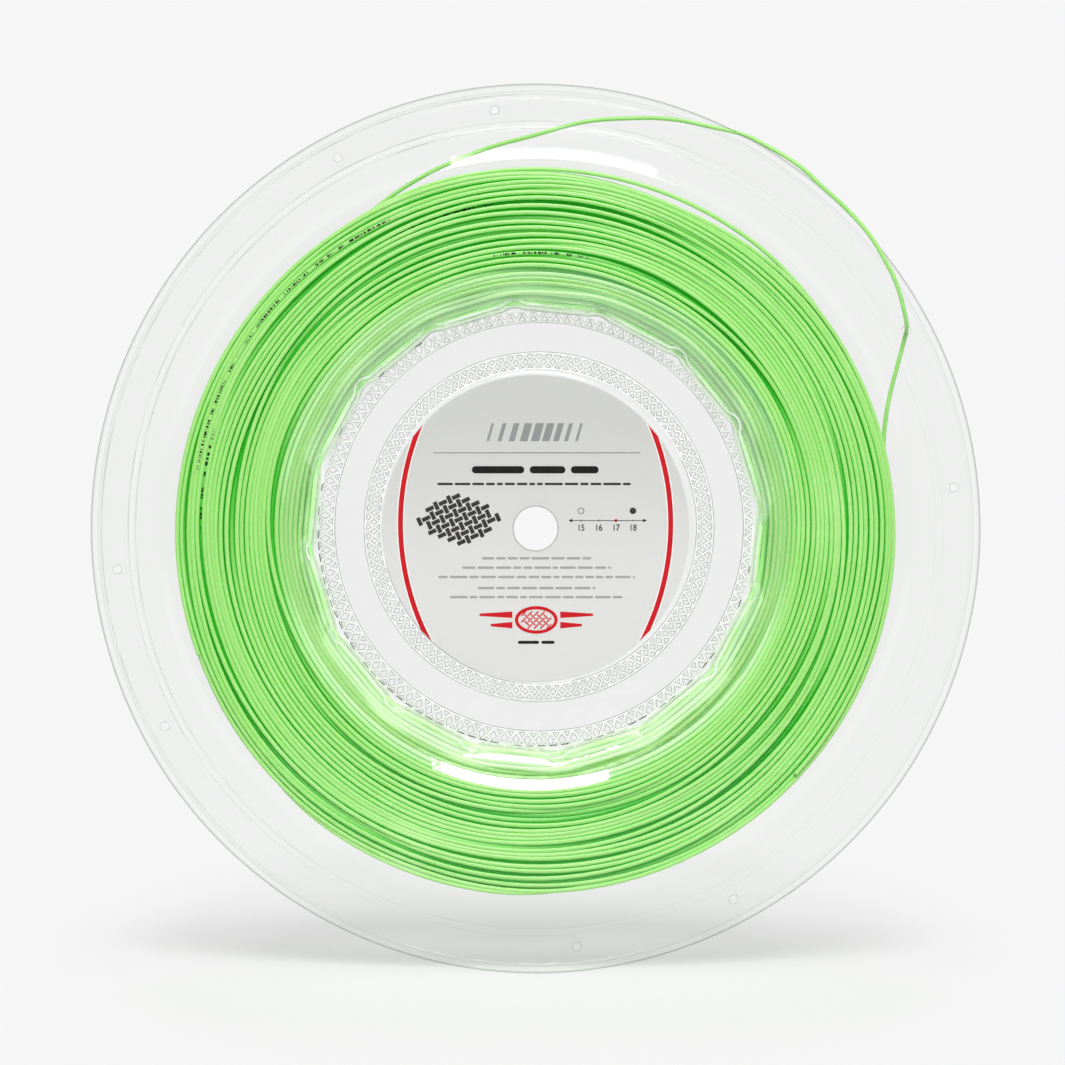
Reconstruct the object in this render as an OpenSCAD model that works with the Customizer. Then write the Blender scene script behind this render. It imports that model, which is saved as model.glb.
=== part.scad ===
// Clear two-shell string reel, wound with tennis string
//
// Two thin clear shells are welded back to back at the middle plane of the reel. Each one has a
// flat hub web, a fluted drum wall, a stepped flange and a turned-out lip. A printed card is
// clamped between the webs. The string is wound in the chamber between the flanges, and its free
// end goes over the front lip and back in through one of the string holes.
//
// Frame: the reel's axis is Y, its front is -Y, Z is up, and the origin is the reel's centre.
// A shell is drawn lying down, with the reel's axis along Z, and stand() turns it upright.

/* [Shells] */
// Outside diameter over the lips
reel_d = 255; // [240:1:280]
// Thickness of the clear sheet
wall = 0.6; // [0.4:0.05:1]
// Diameter of the spindle hole
spindle_hole_d = 12.7; // [8:0.1:20]
// Inside width between the two raised panels
chamber_w = 19; // [15:0.5:26]

/* [Hub] */
// Diameter of the drum at the middle plane
drum_d = 126; // [112:1:136]
// Growth of the drum's radius from the web to the mouth
drum_draft = 1.8; // [0.5:0.1:3]
// Height of the straight drum wall above the middle plane
drum_h = 5.5; // [4:0.1:6.5]
// Number of flutes round the drum
flutes = 16; // [8:1:20]
// Radius of one flute
flute_r = 4.9; // [3.5:0.1:6]
// How far a flute stands out of the drum at the web
flute_proud = 1.5; // [0.8:0.1:2.5]
// Lean of a flute away from the reel's axis
flute_lean = 24; // [15:1:30]
// Turn of the first flute away from the horizontal
flute_start = 5.6; // [0:0.1:22.5]

/* [Flange] */
// Width of the rounded mouth of the hub
mouth_w = 6; // [5:0.1:8]
// Height of the rounded mouth of the hub
mouth_h = 2.7; // [2:0.1:3.4]
// Width of the narrow ledge outside the mouth
ledge_w = 1.4; // [1:0.1:3]
// Width of the step up to the raised panel
inner_step_w = 3; // [2:0.1:5]
// Width of the step down from the raised panel
outer_step_w = 3.4; // [2:0.1:5]
// Depth of the step down from the raised panel
outer_step_h = 1.5; // [0.8:0.1:1.9]
// Width of the shelf outside the panel
shelf_w = 2.6; // [1:0.1:5]
// Fall of the shelf from its inner to its outer edge
shelf_fall = 0.5; // [0.2:0.1:0.9]
// Width of the rounded shoulder
shoulder_w = 5.5; // [4:0.1:7]
// Inside width between the two flat bands at the rim
rim_gap = 11; // [8:0.5:11.5]
// Width of the flat band that holds the string holes
band_w = 6; // [5:0.1:8]
// Radius of the lip
lip_r = 4; // [3:0.1:4.5]

/* [String holes] */
// Slack of the string in a string hole
string_hole_slack = 1.3; // [0.6:0.1:2]
// How far the holes lie outside the middle of the flat band
hole_shift = 0.3; // [0:0.1:1]
// Pairs of string holes in each shell
hole_pairs = 4; // [1:1:6]
// Angle between the two holes of a pair
hole_pair_angle = 22.5; // [10:0.5:40]

/* [Card and weld] */
// Diameter of the printed card
card_d = 88.6; // [70:0.1:95]
// Thickness of the printed card
card_t = 0.4; // [0.2:0.05:0.8]
// Play of the card in its pocket, all round
card_play = 0.5; // [0.2:0.1:1]
// Plain land between the card's pocket and the inner weld ring
weld_land = 1.2; // [0.8:0.1:3]
// Width of the inner weld ring
inner_weld_w = 4.2; // [2:0.1:5]
// Width of the outer weld ring, at the foot of the drum
outer_weld_w = 3.2; // [2:0.1:4]
// Depth that the weld rings are pressed into the webs
weld_depth = 0.15; // [0.05:0.05:0.2]

/* [Winding] */
// Diameter of the string
string_d = 1.25; // [1.1:0.05:1.4]
// Outside diameter of the winding
winding_d = 206; // [180:1:210]
// Loops of the outer turns
turns = 24; // [12:1:24]
// Gap that the string keeps to what it lies on
lay_gap = 0.08; // [0.05:0.01:0.15]
// Rounding of the winding's outer edges
winding_edge = 1.2; // [0.8:0.1:1.4]

/* [Hidden] */
$fn = 120;

// Free end of the string, from the winding over the front lip and back through a string hole
tail_route = [
    [-55.3, -1.1, 85.1], [-52.8, -1.1, 86.7], [-43.3, -1.5, 94.6], [-35.0, -1.9, 100.1],
    [-26.8, -2.1, 104.4], [-13.5, -2.6, 109.7], [-1.7, -3.0, 112.9], [14.4, -3.6, 117.1],
    [29.9, -4.2, 118.1], [39.9, -4.7, 117.6], [49.8, -5.4, 115.6], [59.6, -6.9, 113.1],
    [66.2, -8.1, 109.8], [72.7, -9.4, 105.9], [77.5, -10.3, 102.2], [82.0, -10.5, 97.9],
    [87.5, -10.5, 93.0], [92.8, -10.5, 87.5], [96.6, -10.6, 82.6], [99.7, -10.8, 77.3],
    [102.2, -10.9, 72.6], [104.2, -10.7, 67.4], [105.6, -9.8, 62.3], [106.4, -8.1, 58.8],
    [106.6, -5.8, 56.9], [106.3, -3.8, 55.0], [105.4, -2.8, 51.3], [104.2, -2.4, 46.7],
    [102.9, -2.2, 41.8], [101.6, -2.1, 36.0], [100.7, -2.1, 30.0], [100.2, -2.1, 23.5],
    [100.1, -2.2, 17.1], [100.5, -2.2, 14.1]
];

// Radius of the bend by which a strand comes up out of the inner layers
dive_r = 20;
loop_rings = 24;
loop_sides = 6;
tail_sides = 8;
tail_step = 3.2;
first_turn_angle = 60;

// Radii along the web
spindle_r = spindle_hole_d / 2;
card_r = card_d / 2;
pocket_r = card_r + card_play;
pocket_ramp = 0.4;
drum_r = drum_d / 2;
mouth_r = drum_r + drum_draft;
inner_weld_r = pocket_r + pocket_ramp + weld_land;
outer_weld_r = drum_r - wall - outer_weld_w;

// Radii and heights along the flange
ledge_r = mouth_r + mouth_w;
ledge_z = drum_h + mouth_h;
panel_in_r = ledge_r + ledge_w + inner_step_w;
panel_z = chamber_w / 2;
reel_r = reel_d / 2;
band_z = rim_gap / 2;
band_out_r = reel_r - lip_r;
band_in_r = band_out_r - band_w;
shelf_out_r = band_in_r - shoulder_w;
shelf_out_z = panel_z - outer_step_h - shelf_fall;
panel_out_r = shelf_out_r - shelf_w - outer_step_w;
lip_z = band_z + lip_r;
hole_circle_r = (band_in_r + band_out_r) / 2 + hole_shift;
string_hole_r = (string_d + string_hole_slack) / 2;

// Radius of the circle that falls by drop over a width, starting level
function fall_r(width, drop) = (width * width + drop * drop) / (2 * drop);

// Line of the sheet's inner face, from the middle of the web to the end of the lip, as [r, z]
shoulder_drop = shelf_out_z - band_z;
shoulder_r = fall_r(shoulder_w, shoulder_drop);
web = [[0, card_t / 2], [pocket_r, card_t / 2], [pocket_r + pocket_ramp, 0], [drum_r, 0]];
flange = concat(
    [for (a = [0:15:90]) [ledge_r - mouth_w * cos(a), drum_h + mouth_h * sin(a)]],
    [[ledge_r + ledge_w, ledge_z], [panel_in_r, panel_z], [panel_out_r, panel_z]],
    [[panel_out_r + outer_step_w, panel_z - outer_step_h]],
    [for (i = [0:5])
        let (r = shoulder_w * i / 5)
        [shelf_out_r + r, shelf_out_z - shoulder_r + sqrt(shoulder_r * shoulder_r - r * r)]],
    [for (a = [-90:11.25:0]) [band_out_r + lip_r * cos(a), lip_z + lip_r * sin(a)]]
);

// A line moved to its left by a distance, with mitred corners
function left(a, b) = [a[1] - b[1], b[0] - a[0]] / norm(b - a);
function shifted(line, by) = [
    for (i = [0:len(line) - 1])
        let (
            j = max(i, 1),
            k = min(i, len(line) - 2),
            m = left(line[j - 1], line[j]),
            n = left(line[k], line[k + 1])
        )
        line[i] + by * (m + n) / (1 + m * n)
];

// Space in front of a shell, as a solid: its skin is the sheet's inner face when inset is 0, and
// the sheet's outer face when inset is the wall, which also leaves the flat end of the lip
module front_space(inset) {
    top = panel_z + 2 * wall + inset;
    rim = inset > 0 ? [[reel_r - inset, top]] : [[reel_r - 2 * wall, lip_z], [panel_out_r, top]];
    rotate_extrude() polygon(concat(shifted(concat(web, flange), inset), rim, [[0, top]]));
    for (i = [0:flutes - 1])
        rotate([0, 0, flute_start + 360 / flutes * i]) flute(inset);
}

// One flute: a leaning cylinder, cut level with the web
module flute(inset) {
    foot = drum_r + flute_proud - flute_r / cos(flute_lean);
    intersection() {
        translate([foot, 0, 0])
            rotate([0, flute_lean, 0])
            translate([0, 0, -flute_r])
            cylinder(r = flute_r - inset, h = lip_z + flute_r);
        translate([foot - drum_r / 2, -drum_r / 2, inset]) cube([drum_r, drum_r, ledge_z]);
    }
}

// Radius of a flute's ridge at a height above the middle plane
function ridge_r(z) = drum_r + flute_proud + z * tan(flute_lean);

// Ring-shaped recess of a weld in the web
module weld_ring(inner_r, width) {
    translate([0, 0, wall - weld_depth])
        difference() {
            cylinder(r = inner_r + width, h = wall);
            translate([0, 0, -wall]) cylinder(r = inner_r, h = 3 * wall);
        }
}

module string_holes() {
    for (i = [0:hole_pairs - 1])
        for (j = [0, 1])
            rotate([0, 0, flute_start + 360 / hole_pairs * i + hole_pair_angle * j])
            translate([hole_circle_r, 0, band_z - wall])
            cylinder(r = string_hole_r, h = 3 * wall);
}

module stand() {
    rotate([90, 0, 0]) children();
}

// One clear shell, with the middle plane of the reel at Z = 0
module shell() {
    difference() {
        front_space(0);
        front_space(wall);
        weld_ring(inner_weld_r, inner_weld_w);
        weld_ring(outer_weld_r, outer_weld_w);
        string_holes();
        cylinder(r = spindle_r, h = card_t + 2 * wall);
    }
}

module front_shell() {
    color([0.93, 0.96, 0.95, 0.3]) stand() shell();
}

module rear_shell() {
    color([0.93, 0.96, 0.95, 0.3]) mirror([0, 1, 0]) stand() shell();
}

// Printed card, punched through with the shells
module label_card() {
    color([0.82, 0.82, 0.81])
        stand()
        translate([0, 0, -card_t / 2])
        difference() {
            cylinder(r = card_r, h = card_t);
            translate([0, 0, -card_t]) cylinder(r = spindle_r, h = 3 * card_t);
        }
}

// The winding lies in the chamber: the centre line of its outer turns keeps to the shells and to
// the flutes, and the core of the winding keeps to the turns
turn_off = string_d / 2 + lay_gap;
core_off = 2 * turn_off;
half_step = 180 / loop_rings;
winding_r = winding_d / 2;
turns_out_r = winding_r - string_d / 2;
turns_in_r = (ridge_r(ledge_z) + turn_off) / cos(half_step);
core_out_r = turns_out_r * cos(half_step) - turn_off;
core_in_r = ridge_r(ledge_z) + lay_gap;

// Half of the winding's section, from the drum outwards and round its edge, as [r, z]
function side_z(r, off) = lookup(r, shifted(flange, -off));
function half_section(in_r, out_r, off) = concat(
    [[in_r, side_z(in_r, off)]],
    [for (p = shifted(flange, -off)) if (p[0] > in_r && p[0] < out_r - winding_edge) p],
    [[out_r - winding_edge, side_z(out_r - winding_edge, off)]],
    [[out_r, side_z(out_r - winding_edge, off) - winding_edge]]
);
function reversed(list) = [for (i = [len(list) - 1:-1:0]) list[i]];
function mirrored(list) = [for (p = list) [p[0], -p[1]]];

turns_half = half_section(turns_in_r, turns_out_r, turn_off);
turns_section = concat(mirrored(turns_half), reversed(turns_half));
core_half = half_section(core_in_r, core_out_r, core_off);

// Distance along a line at each of its points
function step_to(line, i) = norm(line[min(i, len(line) - 1)] - line[i - 1]);
function along(line) = [for (i = 0, s = 0; i < len(line); i = i + 1, s = s + step_to(line, i)) s];
section_s = along(turns_section);
section_run = section_s[len(section_s) - 1];
section_marks = [for (i = [0:len(section_s) - 1]) [section_s[i], turns_section[i]]];
section_r = [for (m = section_marks) [m[0], m[1][0]]];
section_z = [for (m = section_marks) [m[0], m[1][1]]];

// Outer turns: the string goes round the reel and along the section at one steady rate
ring_count = turns * loop_rings;
function turn_angle(i) = first_turn_angle - 360 / loop_rings * i;
function turn_centre(i) =
    let (s = section_run * i / ring_count)
    [lookup(s, section_r), turn_angle(i), lookup(s, section_z)];
turn_centres = [for (i = [0:ring_count]) turn_centre(i)];

function round_point(r, angle, z) = [r * cos(angle), r * sin(angle), z];
function turn_ring(i, ahead) = [
    for (k = [0:loop_sides - 1])
        let (
            c = turn_centres[i],
            a = 360 / loop_sides * k
        )
        round_point(c[0] + string_d / 2 * cos(a), c[1], c[2] + string_d / 2 * sin(a))
            + ahead * [sin(c[1]), -cos(c[1]), 0]
];

// Faces of a tube whose rings follow each other in one list of points
function tube_faces(rings, sides) = concat(
    [for (k = [1:sides - 2]) [0, k, k + 1]],
    [for (i = [0:rings - 2])
        for (k = [0:sides - 1])
            let (
                a = i * sides + k,
                b = i * sides + (k + 1) % sides
            )
            each [[a, a + sides, b + sides], [a, b + sides, b]]],
    [for (k = [1:sides - 2]) (rings - 1) * sides * [1, 1, 1] + [0, k + 1, k]]
);

// Outer turns of the winding, as one unbroken tube with a straight piece at each end
module string_turns() {
    points = concat(
        turn_ring(0, -string_d),
        [for (i = [0:ring_count]) each turn_ring(i, 0)],
        turn_ring(ring_count, string_d)
    );
    color([0.60, 0.92, 0.47])
        stand() polyhedron(points, tube_faces(ring_count + 3, loop_sides));
}

// A strand that leaves the surface of the core where an outer strand ends: it goes on from the
// origin along +Y and bends down towards -X, into the inner layers
module dive(turn) {
    translate([-dive_r, 0, 0])
        rotate_extrude(angle = turn)
        translate([dive_r, 0]) circle(d = string_d);
}

// Where the outer turns end at the drum, in front and behind
module turns_dive(i) {
    c = turn_centres[i];
    rotate([0, 0, c[1]])
        translate([c[0], i > 0 ? -string_d : string_d, c[2]])
        rotate([i > 0 ? 180 : 0, i > 0 ? -90 : 90, 0])
        dive(acos(1 - 2 * string_d / dive_r));
}

// Where an end of the free string meets the winding; p is the end of its route. The bend goes on
// until it is one string diameter inside the core
module tail_dive(p) {
    end_r = norm([p[0], p[2]]);
    in_r = min(end_r, core_out_r) - string_d;
    bend_mid_r = end_r - dive_r;
    rotate([0, 0, atan2(p[2], p[0])])
        translate([end_r, 0, -p[1]])
        mirror([0, p == tail_route[0] ? 0 : 1, 0])
        dive(acos((in_r * in_r - bend_mid_r * bend_mid_r - dive_r * dive_r) / (2 * dive_r * bend_mid_r)));
}

// Inner layers of the winding, with the four strands that come up out of them
module string_pack() {
    drum_gap_r = ridge_r(0) + lay_gap;
    color([0.30, 0.70, 0.24]) stand() {
        rotate_extrude()
            polygon(concat(mirrored(reversed(core_half)), [[drum_gap_r, 0]], core_half));
        turns_dive(0);
        turns_dive(ring_count);
        tail_dive(tail_route[0]);
        tail_dive(tail_route[len(tail_route) - 1]);
    }
}

// Smooth curve through the route's points, as points about one step apart
function route_at(k) = tail_route[max(0, min(len(tail_route) - 1, k))];
function smooth(k, t) =
    let (
        a = route_at(k - 1),
        b = route_at(k),
        c = route_at(k + 1),
        d = route_at(k + 2)
    )
    b + ((c - a) * t + (2 * a - 5 * b + 4 * c - d) * t * t + (3 * b - a - 3 * c + d) * t * t * t) / 2;
tail_curve = concat(
    [for (k = [0:len(tail_route) - 2])
        let (pieces = max(1, round(norm(route_at(k + 1) - route_at(k)) / tail_step)))
        for (i = [0:pieces - 1]) smooth(k, i / pieces)],
    [tail_route[len(tail_route) - 1]]
);
tail_last = len(tail_curve) - 1;

function unit(v) = v / norm(v);
function tail_ring(i) =
    let (
        p = tail_curve[i],
        ahead = unit(tail_curve[min(i + 1, tail_last)] - tail_curve[max(i - 1, 0)]),
        side = unit(cross(ahead, [p[0], 0, p[2]])),
        up = cross(side, ahead)
    )
    [for (k = [0:tail_sides - 1])
        let (a = 360 / tail_sides * k)
        p + string_d / 2 * (cos(a) * up + sin(a) * side)];

// Free end of the string
module string_tail() {
    color([0.60, 0.92, 0.47])
        polyhedron(
            [for (i = [0:tail_last]) each tail_ring(i)],
            tube_faces(tail_last + 1, tail_sides)
        );
}

// Least gaps, measured on the centre points less one string diameter
function upright(c) = [c[0] * cos(c[1]), -c[2], c[0] * sin(c[1])];
turn_points = [for (c = turn_centres) upright(c)];
turns_gap = min([
    for (i = [0:ring_count])
        for (j = [i + loop_rings / 2:1:min(ring_count, i + 2 * loop_rings)])
            norm(turn_points[j] - turn_points[i])
]) - string_d;
tail_gap = min([for (p = tail_curve) for (q = turn_points) norm(p - q)]) - string_d;
tail_length = along(tail_curve)[tail_last];
echo(least_gap_between_turns = turns_gap);
echo(least_gap_from_tail_to_turns = tail_gap);
echo(length_of_tail = tail_length, rings_of_tail = tail_last + 1);

front_shell();
rear_shell();
label_card();
string_pack();
string_turns();
string_tail();
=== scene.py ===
import math

import bpy
import numpy as np
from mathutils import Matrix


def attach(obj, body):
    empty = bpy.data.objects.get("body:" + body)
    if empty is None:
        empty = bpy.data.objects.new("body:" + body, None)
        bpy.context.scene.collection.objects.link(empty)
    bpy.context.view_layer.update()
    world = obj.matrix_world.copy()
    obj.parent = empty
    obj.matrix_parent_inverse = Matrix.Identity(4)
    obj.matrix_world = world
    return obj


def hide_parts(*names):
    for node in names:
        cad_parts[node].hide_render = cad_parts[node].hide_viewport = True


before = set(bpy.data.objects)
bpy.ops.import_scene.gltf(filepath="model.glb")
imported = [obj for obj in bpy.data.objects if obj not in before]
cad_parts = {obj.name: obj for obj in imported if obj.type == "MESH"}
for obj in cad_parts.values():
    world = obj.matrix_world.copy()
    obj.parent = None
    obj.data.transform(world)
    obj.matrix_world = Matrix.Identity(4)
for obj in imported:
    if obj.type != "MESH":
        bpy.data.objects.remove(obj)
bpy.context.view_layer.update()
mm = 0.001
scene = bpy.context.scene
print("frame loaded:", ", ".join(sorted(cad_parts)))


def smoothStep(x):
    # 3x^2 - 2x^3 between 0 and 1
    x = np.clip(x, 0, 1)
    return x * x * (3 - 2 * x)


def smoothMax(a, b, blend):
    # the larger of two values, rounded over where they meet
    return (a + b + np.sqrt((a - b) ** 2 + blend ** 2)) / 2


def unit(v):
    return v / np.linalg.norm(v, axis=-1, keepdims=True)


def stand(x, y, z, side):
    # a reel drawn lying down, with z away from the middle plane, stood up: side -1 is its front half
    return np.stack([x, side * z, y], -1) * mm


def polar(r, theta, z, side):
    # the same for a point at a radius and an angle
    return stand(r * np.cos(theta), r * np.sin(theta), z + 0 * r * theta, side)


def ringGrid(rows, columns, start=0):
    # quads between neighbouring closed rings of one grid, whose first point has the index start
    i, j = np.meshgrid(np.arange(rows - 1), np.arange(columns), indexing="ij")
    a = start + i * columns + j
    b = start + i * columns + (j + 1) % columns
    return np.stack([a, b, b + columns, a + columns], -1).reshape(-1, 4)


def bridge(inner, outer):
    # quads between two closed rings of one count, or between two rows of such rings
    return np.stack([inner, np.roll(inner, -1, -1), np.roll(outer, -1, -1), outer], -1).reshape(-1, 4)


def stitch(coarse, fine):
    # triangles between a closed ring and one with a whole multiple of its points
    count = len(coarse)
    ratio = len(fine) // count
    middle = fine.reshape(count, ratio)[:, ratio // 2]
    step = np.arange(len(fine))
    near = coarse[(step // ratio + (step % ratio >= ratio // 2)) % count]
    fans = np.stack([fine, near, np.roll(fine, -1)], -1)
    wide = np.stack([middle, np.roll(coarse, -1), coarse], -1)
    return np.concatenate([fans, wide])


def flipped(faces, turned=True):
    return faces[:, ::-1] if turned else faces


def awayFrom(theta, middle):
    # degrees from a direction, between -180 and 180
    return (np.degrees(theta) - middle + 180) % 360 - 180


def addObject(name, data):
    # an object at the origin that shows a mesh, lamp or camera
    thing = bpy.data.objects.new(name, data)
    scene.collection.objects.link(thing)
    return thing


def makePiece(name, points, quads=(), triangles=(), attributes=None, sharpAngle=None):
    # a mesh object from whole arrays
    quads = np.asarray(quads, np.int32).reshape(-1, 4)
    triangles = np.asarray(triangles, np.int32).reshape(-1, 3)
    corners = np.concatenate([quads.ravel(), triangles.ravel()])
    starts = np.concatenate([4 * np.arange(len(quads)), 4 * len(quads) + 3 * np.arange(len(triangles))])
    mesh = bpy.data.meshes.new(name)
    mesh.vertices.add(len(points))
    mesh.vertices.foreach_set("co", np.asarray(points, np.float32).ravel())
    mesh.loops.add(len(corners))
    mesh.loops.foreach_set("vertex_index", corners.astype(np.int32))
    mesh.polygons.add(len(starts))
    mesh.polygons.foreach_set("loop_start", starts.astype(np.int32))
    mesh.polygons.foreach_set("use_smooth", np.ones(len(starts), bool))
    mesh.update(calc_edges=True)
    mesh.validate()
    for key, values in (attributes or {}).items():
        data = mesh.attributes.new(key, "FLOAT", "POINT").data
        data.foreach_set("value", np.asarray(values, np.float32).ravel())
    if sharpAngle:
        mesh.set_sharp_from_angle(angle=math.radians(sharpAngle))
    return addObject(name, mesh)


def joined(parts):
    # sets of (points, faces, more faces) as one set
    starts = np.cumsum([0] + [len(part[0]) for part in parts[:-1]])
    faces = ([part[k] + start for part, start in zip(parts, starts)] for k in range(1, len(parts[0])))
    return [np.concatenate(column) for column in ([part[0] for part in parts], *faces)]


def makeTurned(name, section, around=168):
    # a closed section of (r, z) points carried round the axis
    theta = 2 * np.pi * np.arange(around) / around
    r, z = section[:, 0, None], section[:, 1, None]
    points = polar(r, theta, z, -1).reshape(-1, 3)
    row = np.arange(len(section))
    here, after = (rows[:, None] * around + np.arange(around) for rows in (row, np.roll(row, -1)))
    return makePiece(name, points, flipped(bridge(here, after)), sharpAngle=40)


class Value:
    # a shader socket whose arithmetic adds Math nodes
    def __init__(self, paint, socket):
        self.paint, self.socket = paint, socket

    def math(self, operation, *inputs):
        return self.paint.add("Math", dict(enumerate(inputs)), operation=operation)

    def __rsub__(self, other):
        return self.math("SUBTRACT", other, self)

    def larger(self, other):
        return self.math("MAXIMUM", self, other)

    def out(self, name):
        return Value(self.paint, self.socket.node.outputs[name])

    def between(self, low, high):
        # 0 below low, 1 above high, and a soft rise in between
        return self.paint.add("MapRange", {"Value": self, "From Min": low, "From Max": high},
                              interpolation_type="SMOOTHSTEP")


for sign, operation in (("add", "ADD"), ("radd", "ADD"), ("sub", "SUBTRACT"), ("mul", "MULTIPLY"),
                        ("rmul", "MULTIPLY"), ("truediv", "DIVIDE"), ("pow", "POWER"),
                        ("gt", "GREATER_THAN")):
    setattr(Value, f"__{sign}__", lambda self, other, kind=operation: self.math(kind, self, other))


class Paint:
    # a node tree under construction
    def __init__(self, name, tree=None):
        if tree is None:
            self.material = bpy.data.materials.new(name)
            self.material.use_nodes = True
            tree = self.material.node_tree
        self.tree = tree
        tree.nodes.clear()

    def add(self, kind, inputs=(), output=0, **settings):
        # one node: its settings first, then a value or a link for each socket named in inputs
        node = self.tree.nodes.new("ShaderNode" + kind)
        for key, value in settings.items():
            setattr(node, key, value)
        for key, value in dict(inputs).items():
            if isinstance(value, Value):
                self.tree.links.new(value.socket, node.inputs[key])
            else:
                node.inputs[key].default_value = value
        return Value(self, node.outputs[output])

    def place(self):
        # Object coordinates, whole and as three values
        spot = self.add("TexCoord").out("Object")
        split = self.add("SeparateXYZ", {0: spot})
        return spot, split, split.out("Y"), split.out("Z")

    def attribute(self, name):
        return self.add("Attribute", attribute_name=name).out("Fac")

    def noise(self, spot, scale, detail=2, roughness=0.5):
        return self.add("TexNoise", {"Vector": spot, "Scale": scale, "Detail": detail,
                                     "Roughness": roughness})

    def blend(self, factor, first, second):
        # a mix of two colours
        return self.add("Mix", {0: factor, 6: first, 7: second}, 2, data_type="RGBA")

    def mixShaders(self, factor, first, second):
        return self.add("MixShader", {0: factor, 1: first, 2: second})

    def seeThrough(self, tint):
        return self.add("BsdfTransparent", {"Color": tint})

    def bump(self, height, strength, distance):
        return self.add("Bump", {"Height": height, "Strength": strength, "Distance": distance})

    def finish(self, surface, kind="OutputMaterial"):
        node = self.tree.nodes.new("ShaderNode" + kind)
        self.tree.links.new(surface.socket, node.inputs["Surface"])
        return getattr(self, "material", None)


def length(a, b):
    return (a * a + b * b) ** 0.5


def colour(red, green, blue):
    # a colour named by its 0 to 255 screen values, as linear light
    share = np.array([red, green, blue]) / 255
    linear = np.where(share <= 0.04045, share / 12.92, ((share + 0.055) / 1.055) ** 2.4)
    return (*[float(c) for c in linear], 1.0)


def dress(piece, material, replaces=()):
    # gives a piece its material and its body, and hides the parts that it replaces
    piece.data.materials.clear()
    piece.data.materials.append(material)
    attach(piece, "root")
    if replaces:
        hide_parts(*replaces)
    return piece


cameraSetup = {
    "imageSide": 1065,          # pixels that the framing is worked out for
    "rimCentre": (535.6, 528.5),  # where the front lip's centre shows
    "rimRadius": 445.0,         # pixels from there to the lip's edge
    "distance": 1280,           # mm from the middle plane
    "sensor": 36,
}
reel = {"radius": 127.5, "lipHeight": 9.5, "floor": -127.55}


def makeCamera(c):
    # similar triangles at the front lip's plane give the lens and the sideways steps
    reach = c["distance"] - reel["lipHeight"]
    focal = c["rimRadius"] * reach / reel["radius"]
    middle = c["imageSide"] / 2
    data = bpy.data.cameras.new("reelCamera")
    data.sensor_width = c["sensor"]
    data.lens = c["sensor"] * focal / c["imageSide"]
    data.clip_start, data.clip_end = 0.05, 100
    camera = addObject("reelCamera", data)
    step = c["distance"] / focal
    camera.location = ((middle - c["rimCentre"][0]) * step * mm, -c["distance"] * mm,
                       (c["rimCentre"][1] - middle) * step * mm)
    camera.rotation_euler = (math.radians(90), 0, 0)
    scene.camera = camera


makeCamera(cameraSetup)
print("camera set")


stringLook = {
    "light": colour(173, 231, 136), "deep": colour(157, 223, 118), "pale": colour(196, 240, 165),
    # of these colours, the flank's and the buried strand's are painted shade
    "flankShade": colour(64, 206, 32), "buriedShade": colour(12, 178, 4), "mark": colour(4, 24, 4),
    "steep": (0.15, 0.64),       # how squarely a flank and a lit top face outwards
    "hub": (70, 76.5, 0.55),     # mm over which the painted reflection that makes the string near the hub paler ends, and how pale it is
    "foot": (65.5, 67.0),        # mm over which the strongest painted reflection, at the drum's foot, ends
    # painted light: a glow that the string gives though it is no lamp: out in the winding, near the hub, and low in
    # the hub's mouth
    "stringGlow": (0.008, 0.18, 0.003, 1), "hubGlow": (0.08, 0.22, 0.05, 1), "lowHubGlow": (0.12, 0.20, 0.06, 1),
    "letters": (1.7, 0.47), "words": (0.33, 0.45),   # along the printed strands: noise scale and cut
    "roughness": 0.26,
}


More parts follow.
